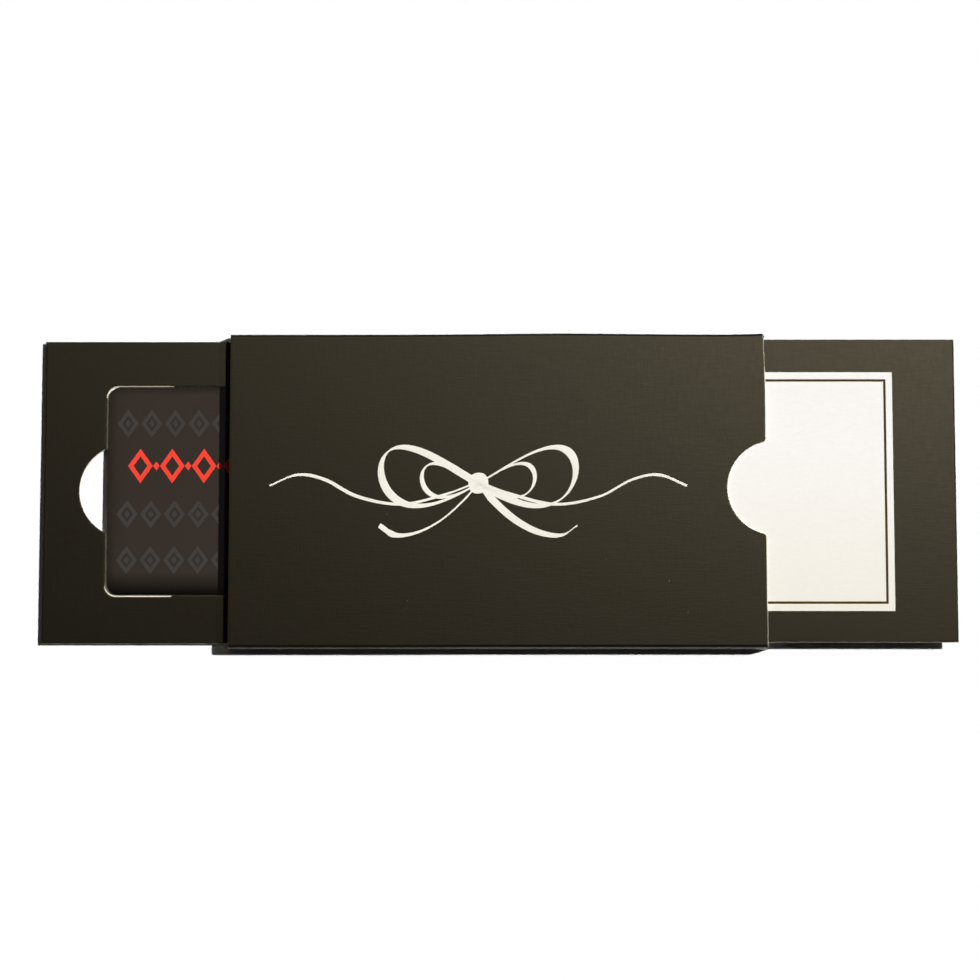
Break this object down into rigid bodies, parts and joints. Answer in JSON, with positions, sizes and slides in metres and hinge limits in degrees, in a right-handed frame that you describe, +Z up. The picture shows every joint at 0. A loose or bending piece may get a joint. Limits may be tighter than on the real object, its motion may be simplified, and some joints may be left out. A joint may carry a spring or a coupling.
{
  "type": "gift card holder",
  "caption": "Flat board sleeve open at its ends, with a windowed card slider and a writing-panel slider that pull out of opposite ends together.",
  "frame": {"origin": "middle of the sleeve's underside, which is the middle of the whole footprint with the sliders pulled out equally", "axes": "+X along the slides towards the message slider, -X towards the card slider, +Y towards the far long edge as read, +Z up out of the printed front"},
  "size_m": [0.2348, 0.0816, 0.0061],
  "materials": {
    "printed_board": "matt print on fine linen-textured board",
    "white_board": "unprinted",
    "clear_film": "clear",
    "glue": "dried adhesive",
    "foam_tape": "closed-cell foam",
    "card_plastic": "satin laminate"
  },
  "bodies": {
    "sleeve_body": {"sleeve": "printed_board", "divider": "white_board", "divider_glue_near": "glue", "divider_glue_far": "glue", "drive_band": "clear_film"},
    "card_slider": {"card_slider_blank": "printed_board", "card_slider_glue_near": "glue", "card_slider_glue_far": "glue", "card_slider_glue_inner": "glue", "gift_card": "card_plastic", "card_glue_dot_outer": "glue", "card_glue_dot_inner": "glue", "card_slider_pad": "foam_tape"},
    "message_slider": {"message_slider_blank": "printed_board", "message_slider_glue_near": "glue", "message_slider_glue_far": "glue", "message_slider_glue_inner": "glue", "message_slider_pad": "foam_tape"}
  },
  "joints": [
    {"name": "card_slide", "type": "slide", "parent": "sleeve_body", "child": "card_slider", "axis": [-1, 0, 0], "range_m": [-0.0487, 0.0593]},
    {"name": "message_slide", "type": "slide", "parent": "sleeve_body", "child": "message_slider", "axis": [1, 0, 0], "range_m": [-0.0487, 0.0593]}
  ],
  "couplings": [
    {"joint": "message_slide", "follows": "card_slide", "ratio": 1}
  ]
}
